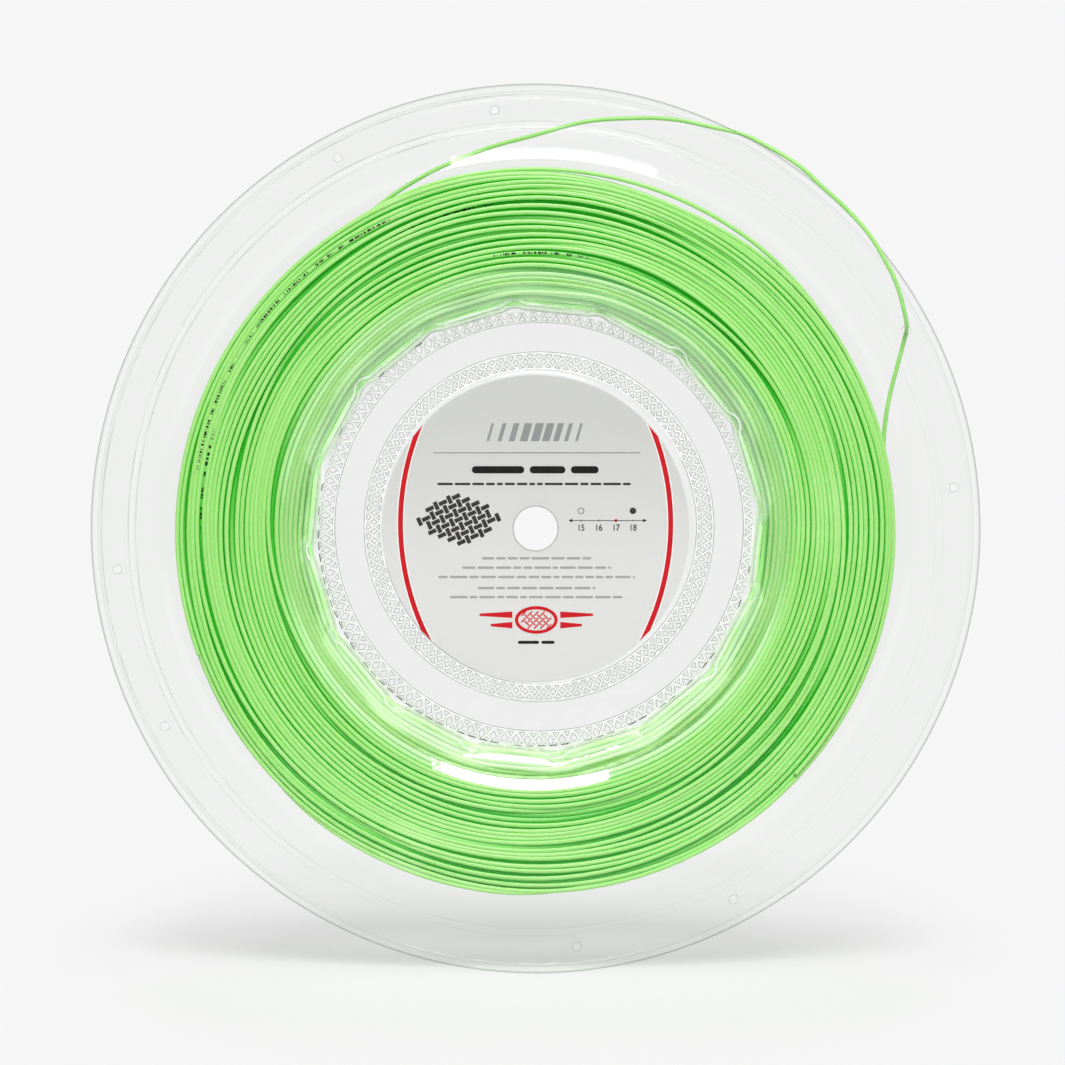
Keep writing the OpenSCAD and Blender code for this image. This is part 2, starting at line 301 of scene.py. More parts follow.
def makeStringPaint(look):
    # lime monofilament: the tone wanders from strand to strand and slowly along each strand. Painted shade makes it
    # deeper down the flanks and where strands lie under others, and a painted glow, though the string is no lamp,
    # lightens it there; near the hub a painted reflection of the sheet makes it paler
    paint = Paint("limeString")
    spot, x, _, z = paint.place()
    tone, facing = paint.attribute("tone"), paint.attribute("facing")
    along, buriedShade = paint.attribute("along"), paint.attribute("buriedShade")
    radius = length(x, z) * (1 / mm)
    near, far, most = look["hub"]
    hub = 1 - radius.between(near, far)
    foot = 1 - radius.between(*look["foot"])
    lower = (z * (-1 / mm) / radius).between(0.1, 0.8)
    # painted reflection: near the hub the string is paler, palest at the drum's foot and on the lower half
    pale = hub * (most + (1 - most) * foot.larger(lower * 0.6))
    shaded = 1 - pale
    flankShade = 1 - facing.between(*look["steep"])
    base = paint.blend(tone, look["light"], look["deep"])
    base = paint.blend(paint.noise(spot, 38, 3).between(0.55, 0.75) * 0.5, base, look["pale"])
    base = paint.blend(pale, base, look["pale"])
    # painted shade: a deeper green down the flanks and on strands that lie under others
    base = paint.blend(flankShade * shaded * 0.8, base, look["flankShade"])
    base = paint.blend(buriedShade * shaded, base, look["buriedShade"])
    # painted light: a glow on the flanks, near the hub also on strands that lie under others, and all over low in the
    # hub's mouth
    paintedGlow = paint.blend(flankShade.larger(buriedShade * hub), (0, 0, 0, 1),
                         paint.blend(hub, look["stringGlow"], look["hubGlow"]))
    paintedGlow = paint.blend(hub * lower, paintedGlow, look["lowHubGlow"])
    letters, words = (
        paint.add("TexNoise", {"W": along, "Scale": scale, "Detail": 1.0}, noise_dimensions="1D") > cut
        for scale, cut in (look["letters"], look["words"]))
    inked = letters * words * (facing > 0.95) * paint.attribute("marked")
    grain = paint.noise(spot, 900)
    return paint.finish(paint.add("BsdfPrincipled", {
        "Base Color": paint.blend(inked, base, look["mark"]),
        "Roughness": look["roughness"] + (grain - 0.5) * 0.12, "IOR": 1.5, "Specular IOR Level": 0.32,
        "Coat Weight": facing.between(0.5, 0.95) * 0.14, "Coat Roughness": 0.12,
        "Emission Color": paintedGlow, "Emission Strength": 1.0, "Normal": paint.bump(grain, 0.15, 0.04 * mm)}))


stringPaint = makeStringPaint(stringLook)


def runLength(points):
    # how far along a line, or each line of a row of lines, its points lie
    steps = np.linalg.norm(np.diff(points, axis=-2), axis=-1)
    return np.concatenate([0 * steps[..., :1], np.cumsum(steps, -1)], -1)


def sweepTubes(paths, radius, sides, across, power=2, turned=0):
    # tubes along an array of paths, in mm and stood up: rings of points on two unit directions, of which
    # up is as near to across as the path lets it be; the section |a|^power + |b|^power = 1 is a circle
    # for 2 and has flats above that, and its first point looks up unless it is turned by some sides
    count, steps, _ = paths.shape
    ahead = unit(np.gradient(paths, axis=1))
    sideways = unit(np.cross(ahead, across))
    up = np.cross(sideways, ahead)
    angle = 2 * np.pi * (np.arange(sides) + turned) / sides
    c, s = np.cos(angle)[:, None], np.sin(angle)[:, None]
    reach = (np.abs(c) ** power + np.abs(s) ** power) ** (-1 / power)
    points = paths[:, :, None] + radius * reach * (c * up[:, :, None] + s * sideways[:, :, None])
    ring = unit(np.sign(c) * np.abs(c) ** (power - 1) * up[:, :, None]
                + np.sign(s) * np.abs(s) ** (power - 1) * sideways[:, :, None])
    quads = np.concatenate([ringGrid(steps, sides, i * steps * sides) for i in range(count)])
    fan = np.stack([np.zeros(sides - 2, int), np.arange(1, sides - 1), np.arange(2, sides)], -1)
    first = (np.arange(count) * steps * sides)[:, None, None] + fan
    last = first[:, :, ::-1] + (steps - 1) * sides
    caps = np.concatenate([first, last]).reshape(-1, 3)
    along = runLength(paths)
    return points.reshape(-1, 3), quads, caps, np.repeat(along, sides, 1), ring   # ring: the normals


tail = {
    "diameter": 1.25, "sides": 12, "step": 0.9,
    "route": [  # mm, from the winding over the front lip and back through a string hole
        (-55.3, -1.1, 85.1), (-52.8, -1.1, 86.7), (-43.3, -1.5, 94.6), (-35.0, -1.9, 100.1),
        (-26.8, -2.1, 104.4), (-13.5, -2.6, 109.7), (-1.7, -3.0, 112.9), (14.4, -3.6, 117.1),
        (29.9, -4.2, 118.1), (39.9, -4.7, 117.6), (49.8, -5.4, 115.6), (59.6, -6.9, 113.1),
        (66.2, -8.1, 109.8), (72.7, -9.4, 105.9), (77.5, -10.3, 102.2), (82.0, -10.5, 97.9),
        (87.5, -10.5, 93.0), (92.8, -10.5, 87.5), (96.6, -10.6, 82.6), (99.7, -10.8, 77.3),
        (102.2, -10.9, 72.6), (104.2, -10.7, 67.4), (105.6, -9.8, 62.3), (106.4, -8.1, 58.8),
        (106.6, -5.8, 56.9), (106.3, -3.8, 55.0), (105.4, -2.8, 51.3), (104.2, -2.4, 46.7),
        (102.9, -2.2, 41.8), (101.6, -2.1, 36.0), (100.7, -2.1, 30.0), (100.2, -2.1, 23.5),
        (100.1, -2.2, 17.1), (100.5, -2.2, 14.1)],
}


def smoothRoute(route, step):
    # Catmull-Rom curve through the points, with each end point taken twice
    p = np.array([route[0], *route, route[-1]], float)
    pieces = []
    for a, b, c, d in zip(p, p[1:], p[2:], p[3:]):
        t = np.linspace(0, 1, max(2, int(np.linalg.norm(c - b) / step)), endpoint=False)[:, None]
        pieces.append(b + ((c - a) * t + (2 * a - 5 * b + 4 * c - d) * t ** 2
                           + (3 * b - a - 3 * c + d) * t ** 3) / 2)
    return np.concatenate([*pieces, p[-1:]])


def makeTail(t):
    line = smoothRoute(t["route"], t["step"])[None]
    outward = unit(line * [1, 0, 1])
    points, quads, caps, along, ring = sweepTubes(line, t["diameter"] / 2, t["sides"], outward)
    # a little of the string's painted shade for buried strands lies all along the tail
    piece = makePiece("freeEnd", points * mm, quads, caps, {
        "along": along, "tone": np.full(along.shape, 0.55), "facing": 0.87 - 0.13 * ring[..., 1],
        "marked": np.zeros(along.shape), "buriedShade": np.full(along.shape, 0.08)}, 60)
    dress(piece, stringPaint, ["string_tail"])


makeTail(tail)


shell = {
    "wall": 0.6, "spindle": 6.35, "pocketRadius": 44.8, "pocketDepth": 0.2,
    "drum": 63, "mouthFoot": (64.8, 5.5), "mouth": (6, 2.7), "ledge": 1.4, "innerStep": 3,
    "panel": 9.5, "panelEdge": 106, "outerStep": (3.4, 1.5), "shelf": (2.6, 0.5),
    "band": (117.5, 123.5, 5.5), "lip": 3.96,
    "folds": ((63.05, 0.1), (64.75, 5.2)),   # radius and height of the folds at the drum's two ends
    "innerMark": 0.15,                       # how much of the cut edge's dark its inner side has
    "plainRows": (20, 34), "webRows": (52, 58, 61), "panelRow": 90,   # further rings on the flat parts
    "flutes": 16, "fluteStart": 5.6, "fluteRadius": 4.9, "fluteFoot": 59.14, "fluteLean": 24,
    "fluteReach": (60.5, 68.6, 2), "flutePull": 0.011,   # mm from the axis, mm to fade out, and a share
    "around": 336, "fineRings": (61.5, 70.5),   # mm from the axis between which the rings are finer
    "holeRadius": 1.275, "holeRings": (1.9, 1.42), "holePairs": 4, "holeSides": 32,
    "holeRows": (118.7, 119.75, 120.8, 121.85, 122.9),   # the band's rings, with the holes in the middle
}


def filleted(corners):
    # a line of (r, z, fillet) corners, each rounded by an arc between its two tangent points; a point
    # just before and after each arc keeps the flats flat
    out = [corners[0][:2]]
    for before, here, after in zip(corners, corners[1:], corners[2:]):
        p, radius = np.array(here[:2], float), here[2]
        if radius == 0:
            out.append(p)
            continue
        a, b = unit(np.array(before[:2]) - p), unit(np.array(after[:2]) - p)
        half = math.acos(np.clip(a @ b, -1, 1)) / 2
        reach = radius / math.tan(half)
        centre = p + unit(a + b) * radius / math.sin(half)
        start, end = p + a * reach, p + b * reach
        out.append(start + a * 0.2)
        turn = np.pi - 2 * half
        for share in np.linspace(0, 1, 5):
            swing = np.sin((1 - share) * turn) * (start - centre) + np.sin(share * turn) * (end - centre)
            out.append(centre + swing / math.sin(turn))
        out.append(end + b * 0.2)
    out.append(corners[-1][:2])
    return np.array([tuple(p) for p in out], float)


def shellLine(s):
    # the sheet's chamber-side face from the spindle hole to the lip's end, as (r, z) rows
    footR, footZ = s["mouthFoot"]
    width, height = s["mouth"]
    ledgeIn = footR + width
    ledgeZ = footZ + height
    panelIn = ledgeIn + s["ledge"] + s["innerStep"]
    bandIn, bandOut, bandZ = s["band"]
    stepW, stepH = s["outerStep"]
    shelfW, shelfFall = s["shelf"]
    shelfIn = s["panelEdge"] + stepW
    shoulderIn = shelfIn + shelfW
    shoulderTop = s["panel"] - stepH - shelfFall
    drop = shoulderTop - bandZ
    fall = bandIn - shoulderIn
    shoulderR = (fall ** 2 + drop ** 2) / (2 * drop)
    corners = [(s["spindle"], s["pocketDepth"], 0), (s["spindle"] + 0.35, s["pocketDepth"], 0),
               *((r, s["pocketDepth"], 0) for r in s["plainRows"]),
               (s["pocketRadius"], s["pocketDepth"], 0.15), (s["pocketRadius"] + 0.4, 0, 0.15),
               *((r, 0, 0) for r in s["webRows"]), (s["drum"], 0, 0.45)]
    for z in np.linspace(0.2, 0.9, 6) * footZ:
        corners.append((s["drum"] + (footR - s["drum"]) * z / footZ, z, 0))
    for a in np.radians(np.linspace(0, 90, 13)):
        corners.append((ledgeIn - width * math.cos(a), footZ + height * math.sin(a), 0))
    corners += [(ledgeIn + s["ledge"], ledgeZ, 0.8), (panelIn, s["panel"], 0.9),
                (s["panelRow"], s["panel"], 0), (s["panelEdge"], s["panel"], 0.9), (shelfIn, s["panel"] - stepH, 1.0),
                (shoulderIn, shoulderTop, 0)]
    for r in np.linspace(0.15, 0.9, 6) * fall:
        corners.append((shoulderIn + r, shoulderTop - shoulderR + math.sqrt(shoulderR ** 2 - r ** 2), 0))
    corners += [(bandIn, bandZ, 0.5), *((r, bandZ, 0) for r in s["holeRows"])]
    for a in np.radians(np.linspace(-88, 0, 11)):
        corners.append((bandOut + s["lip"] * math.cos(a), bandZ + s["lip"] + s["lip"] * math.sin(a), 0))
    return filleted(corners)


def sheetPoint(r, z, theta, s):
    # the chamber-side face in three dimensions: between foot and ledge the drum is pulled out a little
    # at each flute, and a leaning cylinder stands through it
    period = 2 * np.pi / s["flutes"]
    off = (theta - math.radians(s["fluteStart"]) + period / 2) % period - period / 2
    wave = 0.5 + 0.5 * np.cos(s["flutes"] * off)
    start, end, fade = s["fluteReach"]
    weight = smoothStep((r - start) / (s["drum"] - start)) * (1 - smoothStep((r - end) / fade))
    plain = r * (1 + s["flutePull"] * wave * weight)
    lean = math.radians(s["fluteLean"])
    centre = s["fluteFoot"] + z * math.tan(lean)
    across = centre * np.tan(off) / s["fluteRadius"]
    bow = np.sqrt(np.clip(1 - across ** 2, 0, 1))
    flute = centre * np.cos(off) + s["fluteRadius"] / math.cos(lean) * bow
    flute = np.where(np.abs(across) < 1, flute, centre - 5)
    bulged = smoothMax(plain, flute, 0.35) - smoothMax(plain, plain - 8, 0.35) + plain
    radius = plain + weight * (bulged - plain)
    return np.stack([radius * np.cos(theta), radius * np.sin(theta), z + 0 * theta], -1)


def shellFaces(s, line, rows, around, offset):
    # points of one face of the sheet on given rows, moved along its own normal by offset
    run = runLength(line)
    here = run[rows][:, None]
    nudge, twist = 0.03, 0.0005   # mm and radians either way, whose differences give the normal

    def at(run0, angle):
        return sheetPoint(np.interp(run0, run, line[:, 0]), np.interp(run0, run, line[:, 1]), angle, s)

    theta = math.radians(s["fluteStart"]) + 2 * np.pi * np.arange(around) / around
    angle = np.broadcast_to(theta, (len(rows), around))
    alongLine = at(np.minimum(here + nudge, run[-1]), angle) - at(np.maximum(here - nudge, 0), angle)
    alongRing = at(here, angle + twist) - at(here, angle - twist)
    return at(here, angle) + offset * unit(np.cross(alongLine, alongRing))


def foldRows(s, line):
    return [int(np.argmin(np.hypot(line[:, 0] - r, line[:, 1] - z))) for r, z in s["folds"]]


def makeShell(name, s, side, node, material):
    # both faces of the sheet, each of three groups of rings that are stitched where the open face has
    # finer ones, and joined at the spindle hole, at the lip's end and round the string holes
    line = shellLine(s)
    foot, top = (int(np.argmax(line[:, 0] > r)) for r in s["fineRings"])
    groups = [(0, foot, 1), (foot, top, 2), (top, len(line), 1)]   # rows, and how much finer they are
    run = runLength(line)
    low, high = run[foldRows(s, line)]
    walled = smoothStep((run - low - 0.2) / 0.4) * (1 - smoothStep((run - high + 0.4) / 1.2))
    points, quads, triangles, edge, wall = [], [], [], [], []
    rings = {}
    total = 0
    for face, offset in (("chamber", 0.0), ("open", s["wall"])):
        turned = face == "chamber"
        previous = None
        for first, last, finer in groups:
            around = s["around"] * (1 if turned else finer)
            p = shellFaces(s, line, np.arange(first, last), around, offset)
            grid = ringGrid(last - first, around, total)
            ring = total + np.arange(around)
            if first == top:
                keep, *holes, holeRims, rimMarks = cutHoles(s, line, first, p, total, around)
                grid = grid[keep]
            points.append(p.reshape(-1, 3))
            quads.append(flipped(grid, turned))
            edge.append(np.zeros(len(points[-1])))
            wall.append(np.repeat(walled[first:last], around))
            if previous is not None and len(previous) == len(ring):
                quads.append(flipped(bridge(previous, ring), turned))
            elif previous is not None:
                rising = len(previous) < len(ring)
                link = stitch(previous, ring) if rising else stitch(ring, previous)
                triangles.append(flipped(link, rising != turned))
            rings[face, first] = ring
            previous = total + (last - first - 1) * around + np.arange(around)
            total += len(points[-1])
            if first == top:
                holePoints, holeQuads, holeTriangles = holes
                points.append(holePoints)
                edge.append(rimMarks)
                wall.append(0 * rimMarks)
                quads.append(flipped(holeQuads, turned))
                triangles.append(flipped(holeTriangles, turned))
                rings[face, "holes"] = holeRims
                total += len(holePoints)
        rings[face, "end"] = previous
    for key in (0, "end", "holes"):
        quads.append(flipped(bridge(rings["chamber", key], rings["open", key]), key == "end"))
    edge = np.concatenate(edge)
    for face, mark in (("chamber", 1), ("open", s["innerMark"])):
        for key in (0, "end"):
            edge[rings[face, key]] = mark
    x, y, z = np.concatenate(points).T
    quads, triangles = (flipped(np.concatenate(faces), side > 0) for faces in (quads, triangles))
    piece = makePiece(name, stand(x, y, z, side), quads, triangles,
                      {"cutEdge": edge, "wall": np.concatenate(wall)}, 50)
    dress(piece, material, [node])
    print(name, len(quads) * 2 + len(triangles), "triangles")


def cutHoles(s, line, first, p, start, around):
    # in the flat band, four by four quads round each string hole give way to rings that run from
    # their sixteen border points in to the hole
    sides = s["holeSides"]
    low = int(np.argmin(np.abs(line[:, 0] - s["holeRows"][0]) + np.abs(line[:, 1] - s["band"][2]))) - first
    step = around // s["flutes"]
    centres = [(around // s["holePairs"] * i + step * j) % around
               for i in range(s["holePairs"]) for j in (0, 1)]
    keep = np.ones((len(p) - 1, around), bool)
    path = ([(4, c) for c in (0, 1, 2)] + [(r, 2) for r in (3, 2, 1)] + [(0, c) for c in (2, 1, 0, -1)]
            + [(0, -2)] + [(r, -2) for r in (1, 2, 3)] + [(4, c) for c in (-2, -1)])
    newPoints, quads, triangles, inner = [], [], [], []
    total = start + len(p) * around
    angle = 2 * np.pi * np.arange(sides)[:, None] / sides
    for centre in centres:
        keep[low:low + 4][:, np.arange(centre - 2, centre + 2) % around] = False
        border = np.array([start + (low + r) * around + (centre + c) % around for r, c in path])
        middle = p[low + 2, centre]
        outward = unit(middle * [1, 1, 0])
        sideways = np.array([-outward[1], outward[0], 0])
        spin = np.cos(angle) * outward + np.sin(angle) * sideways
        newPoints += [middle + radius * spin for radius in (*s["holeRings"], s["holeRadius"])]
        ringA, ringB, ringC = total + np.arange(3 * sides).reshape(3, sides)
        triangles.append(flipped(stitch(border, ringA)))
        quads += [bridge(ringB, ringA), bridge(ringC, ringB)]
        inner.append(ringC)
        total += 3 * sides
    marks = np.tile(np.repeat([0.0, 0.0, 1.0], sides), len(centres))
    return (keep.ravel(), np.concatenate(newPoints), np.concatenate(quads), np.concatenate(triangles),
            np.array(inner), marks)


clearLook = {
    "tint": (0.994, 0.996, 0.994, 1), "outerTint": (0.984, 0.987, 0.984, 1),
    "edgeTint": (0.42, 0.47, 0.43, 1), "wallTint": (0.95, 0.985, 0.93, 1),
    "haze": 0.0015, "hazeColour": (0.9, 0.92, 0.9, 1), "normalShine": 0.02, "roughness": 0.02,
    "grazing": (0.7, 1.0, 0.15),   # where the sheet seen on edge starts to darken, and by how much
    "cutEdge": 0.85, "rearEdge": 0.3,   # how dark the front's cut edges are, and the rear's share of that
    "mouth": (64.4, 65.2, 71.5, 75.6), "mouthHaze": 0.015, "mouthShine": 0.09,   # mm, and what it adds
    "lowerShine": 0.11,              # and what its lower half adds, where the light from above strikes it
    "outer": (107.6, 109.2, 0.85),   # mm, and how much less of F0 the shoulder and lip have
    "passed": 0.85,                  # of the lamp's light that is mirrored, what reaches the string
}


def makeClearPaint(look):
    # clear sheet: what is behind shows through, more of the studio is mirrored the flatter it is
    # looked at (Schlick: F0 + (1 - F0)(1 - cos)^5), and the cut edges are darker; the drum's wall
    # takes up the colour of the string wound on it
    paint = Paint("clearSheet")
    spot, x, y, z = paint.place()
    radius = length(x, z) * (1 / mm)
    a, b, c, d = look["mouth"]
    mouth = radius.between(a, b) * (1 - radius.between(c, d))
    slant = paint.add("LayerWeight", {"Blend": 0.5}).out("Facing")
    near, far, less = look["outer"]
    outside = radius.between(near, far)
    lower = (z / radius * (-1 / mm)).between(0.1, 0.85)
    base = mouth * (look["mouthShine"] + lower * look["lowerShine"])
    base = look["normalShine"] * (1 - outside * less) + base
    lampRay = 1 - paint.add("LightPath").out("Is Shadow Ray") * look["passed"]
    shine = (base + (1 - base) * slant ** 5) * lampRay
    tint = paint.blend(outside, look["tint"], look["outerTint"])
    clear = paint.seeThrough(paint.blend(paint.attribute("wall"), tint, look["wallTint"]))
    waves = paint.noise(spot, 55, 3, 0.4) * 0.8 + paint.noise(spot, 260) * 0.2
    milk = paint.add("BsdfPrincipled", {
        "Base Color": look["hazeColour"], "Roughness": 0.5, "Specular IOR Level": 0.2})
    mirror = paint.add("BsdfPrincipled", {
        "Base Color": (1, 1, 1, 1), "Metallic": 1.0, "Normal": paint.bump(waves, 0.35, 0.6 * mm),
        "Roughness": look["roughness"] + paint.noise(spot, 120) * 0.03})
    low, high, most = look["grazing"]
    edge = (slant.between(low, high) * most).larger(paint.attribute("cutEdge") * look["cutEdge"])
    edge = edge * (1 - (y > 0) * (1 - look["rearEdge"])) * lampRay
    through = paint.mixShaders(edge, clear, paint.seeThrough(look["edgeTint"]))
    body = paint.mixShaders(look["haze"] + mouth * look["mouthHaze"], through, milk)
    return paint.finish(paint.mixShaders(shine, body, mirror))


clearPaint = makeClearPaint(clearLook)
makeShell("frontShell", shell, -1, "front_shell", clearPaint)
makeShell("rearShell", shell, 1, "rear_shell", clearPaint)


winding = {
    "radius": 0.625, "sense": -1, "steps": 112, "sides": 12, "power": 3.0,
    "firstLayer": 65.4, "layerPitch": 1.272, "pairs": 14, "turnsEachWay": 1.75,
    "crossPitch": 1.32, "flush": 0.8, "climb": 0.9, "clearance": 0.1, "seed": 11,
    "ridge": (64.5, 0.445),       # the flutes' ridge line: radius in the middle plane, and its lean
    "outerLayers": (101.1, 102.35), "outerRipples": (0.14, 0.12),
    "tuck": 0.9,                  # mm that the loose turns' ends lie under the outermost layer
    "bulge": (0.37, 1.02, 0.38),  # mm that the coil swells: at the sides, downwards, and both ways
    "dips": [(65, 17, 1.7), (249, 14, 0.7)],   # degrees, half width and depth of the slack in the coil
    "swellFrom": (70, 33, 1.6), "dipFrom": (92, 10),   # mm from the axis, mm to its whole size, and power
    "loose": (0.12, 9),           # how loose the innermost layer is, and layers until they're fully loose
    "own": (0.10, 0.7), "hug": (0.9, 2.5),   # a layer's own wave, and how it follows the flutes, in mm
    "parts": (0.4, 3, 0.45),      # layers over which a gap opens, closes again, and a strand is sunk
    "waves": 7, "waveSize": 0.30, "waveSpread": (0.1, 0.6), "depthSize": 0.2, "depthSpread": (0.4, 1.9),
    "gaps": [  # places where layers part or a strand lies sunk between its neighbours: layer, degrees,
               # half width in degrees, opening in mm, and how far the strand there is sunk
        (23.5, 262, 32, 0.62, 0), (25.5, 18, 26, 0.35, 0), (17.5, 205, 28, 0.3, 0), (15.5, 252, 34, 0.28, 0),
        (18.5, 196, 30, 0.26, 0), (12.5, 312, 30, 0.28, 0), (21.5, 332, 28, 0.28, 0),
        (7.5, 172, 40, 0.22, 0), (19.5, 282, 26, 0.3, 0), (14.5, 345, 30, 0.26, 0), (9.5, 232, 30, 0.26, 0),
        (25, 108, 34, -0.4, 0.9), (22, 92, 40, -0.4, 1), (19, 104, 38, -0.42, 1.1), (16, 82, 34, -0.4, 1),
        (13, 112, 34, -0.42, 1.1), (10, 94, 34, -0.42, 1.1), (7, 70, 26, -0.34, 0.8),
        (24, 58, 18, -0.34, 0.8), (17, 148, 18, -0.34, 0.8), (22.5, 306, 24, 0.3, 0),
        (12, 282, 22, -0.36, 0.8), (9.5, 262, 24, 0.24, 0), (23.5, 118, 24, 0.3, 0), (20.5, 76, 24, 0.35, 0),
        (17.5, 122, 22, 0.35, 0), (14.5, 98, 30, 0.3, 0), (11.5, 66, 26, 0.3, 0), (8.5, 112, 26, 0.28, 0)],
    "inkedStrands": [(26, 140, 8), (26, 123, 8), (26, 160, 9), (22, 111, 12), (24, 172, 8), (11, 90, 10)],
}


def chamberDepth(r, w):
    # how far from the middle plane a strand's centre line may lie at a radius
    line = shellLine(shell)
    inner = np.interp(r, line[:, 0], line[:, 1]) - w["radius"] - w["clearance"]
    ridgeR, lean = w["ridge"]
    return np.minimum(inner, (r - ridgeR - w["radius"]) / lean)


def sag(theta, w):
    side, down, both = w["bulge"]
    return side - down * np.sin(theta) + both * np.sin(theta) ** 2


def swell(r, theta, w):
    # the coil's outer layers sag down and outwards, and lie slack in two places
    start, reach, power = w["swellFrom"]
    share = np.clip((r - start) / reach, 0, 1.1) ** power
    dipStart, dipReach = w["dipFrom"]
    lift = sag(theta, w)
    for middle, half, depth in w["dips"]:
        away = awayFrom(theta, middle)
        lift = lift - depth * np.exp(-(away / half) ** 2) * np.clip((r - dipStart) / dipReach, 0, 1)
    return share * lift


def ripple(layer, theta, rng, w, size, spread):
    # slow waves that run through neighbouring layers: a sum of cosines of angle and layer, where
    # spread is the least and most that the wave turns from one layer to the next
    total = np.zeros(np.broadcast(layer, theta).shape)
    for _ in range(w["waves"]):
        total += rng.uniform(0.4, 1) * np.cos(rng.integers(1, 7) * theta + rng.uniform(*spread) * layer
                                              + rng.uniform(0, 6.28))
    return size * total / math.sqrt(w["waves"]) * 1.6


def parting(layer, theta, w):
    # the layers on either side of a gap are pushed apart, or drawn together over a sunk strand, less and
    # less with distance from it; returns the push and how far strands are sunk
    opens, closes, sinks = w["parts"]
    push, sunk = 0, 0
    for middle, degrees, half, opening, drop in w["gaps"]:
        away = awayFrom(theta, degrees)
        near = np.exp(-(away / half) ** 2)
        off = layer - middle
        push = push + opening * np.tanh(off / opens) * np.exp(-np.abs(off) / closes) * near
        sunk = sunk + drop * near * np.exp(-(off / sinks) ** 4)
    return push, sunk


def faceStrands(w, side):
    # on each face the string comes up to the flange, climbs to the next layer and goes back: one
    # path for each pair of layers, with its turn-round at a chance angle; each turn lies flush for
    # most of its way, and then goes in by one strand
    rng = np.random.default_rng(w["seed"] + side)
    reach = 2 * np.pi * w["turnsEachWay"]
    t = np.linspace(-reach, reach, int(2 * w["turnsEachWay"] * w["steps"]) + 1)[None]
    pair = np.arange(w["pairs"])[:, None]
    theta = rng.uniform(0, 2 * np.pi, (w["pairs"], 1)) + w["sense"] * t
    layer = 2 * pair + smoothStep(t / w["climb"] + 0.5)
    r = w["firstLayer"] + layer * w["layerPitch"]
    least, layers = w["loose"]
    loose = least + (1 - least) * smoothStep(layer / layers)
    ownSize, ownTurn = w["own"]
    own = ownSize * np.cos(ownTurn * t + rng.uniform(0, 6.28, (w["pairs"], 1)))
    flat = 0.5 - 0.5 * np.cos(shell["flutes"] * (theta - math.radians(shell["fluteStart"])))
    shift = ripple(layer, theta, rng, w, w["waveSize"], w["waveSpread"]) * loose + own * loose
    push, sunk = parting(layer, theta, w)
    shift = shift + push - w["hug"][0] * flat * np.exp(-layer / w["hug"][1])
    sink = ripple(layer, theta, rng, w, w["depthSize"], w["depthSpread"]) * loose
    turn = np.abs(t) / (2 * np.pi)
    depth = w["crossPitch"] * (np.floor(turn) + smoothStep((turn % 1 - w["flush"]) / (1 - w["flush"])))
    depth = depth + np.maximum(sink, 0) + sunk
    r = r + shift + swell(r, theta, w)
    z = chamberDepth(r, w) - depth
    marked = np.zeros(r.shape)
    for inkLayer, middle, half in w["inkedStrands"]:
        away = awayFrom(theta, middle)
        marked[(np.abs(away) < half) & (np.abs(layer - inkLayer) < 0.4) & (np.abs(t) < 6.2)] = 1
    tone = np.repeat(rng.uniform(0, 1, (w["pairs"], 1)), t.shape[1], 1) * 0.6 + 0.4 * (t > 0)
    # buried sets how much painted shade a strand gets where it lies deeper than its neighbours
    looks = {"tone": tone, "marked": marked * (side < 0), "buriedShade": 0.92 * smoothStep((depth - 0.3) / 1.2)}
    return polar(r, theta, z, side) / mm, looks


def outerStrands(w, rng):
    # the two outermost layers wind across the whole width, one each way
    half = float(chamberDepth(np.array(w["outerLayers"][1]), w))
    turns = 2 * half / w["crossPitch"]
    outwards, sideways = w["outerRipples"]
    t = np.linspace(0, 2 * np.pi * turns, int(turns * w["steps"]))
    paths = []
    for i, base in enumerate(w["outerLayers"]):
        theta = 1.1 + 2.4 * i + w["sense"] * t
        y = (2 * t / t[-1] - 1) * half * (1 if i else -1)
        r = base + ripple(y, theta, rng, w, outwards, w["depthSpread"]) + swell(np.array(base), theta, w)
        y = y + ripple(0 * t, theta, rng, w, sideways, w["depthSpread"])
        paths.append(np.stack([r * np.cos(theta), np.clip(y, -half, half), r * np.sin(theta)], -1))
    return np.array(paths)


looseTurns = {  # strands that lie proud of the slack places: first and last degrees, y, rise in mm
    "upper": (140, 20, -6.7, 1.15), "lower": (285, 214, -7.4, 0.75),
}


def looseStrands(w, turns):
    paths = []
    for first, last, y, rise in turns.values():
        share = np.linspace(0, 1, w["steps"])
        theta = np.radians(first + (last - first) * share)
        r = w["outerLayers"][1] - w["tuck"] + sag(theta, w)
        r = r + (rise + w["tuck"]) * smoothStep(share / 0.3) * smoothStep((1 - share) / 0.28)
        paths.append(np.stack([r * np.cos(theta), y + 1.4 * (share - 0.5) ** 2, r * np.sin(theta)], -1))
    return np.array(paths)


def makeStrands(name, paths, looks, side, w, replaced=()):
    # looks holds a number for each point of the paths, or one for all, that every point of a ring gets
    outward = unit(paths * [1, 0, 1])
    points, quads, caps, along, ring = sweepTubes(paths, w["radius"], w["sides"], outward, w["power"])
    spread = {key: np.repeat(np.broadcast_to(values, paths.shape[:2])[..., None], w["sides"], 2)
              for key, values in looks.items()}
    if side:
        facing = side * ring[..., 1]
    else:
        facing = np.maximum(np.abs(ring[..., 1]), (ring * outward[:, :, None]).sum(-1))
    piece = makePiece(name, points * mm, quads, caps, {"along": along, "facing": facing, **spread}, 60)
    dress(piece, stringPaint, replaced)
    print(name, len(quads) * 2 + len(caps), "triangles")


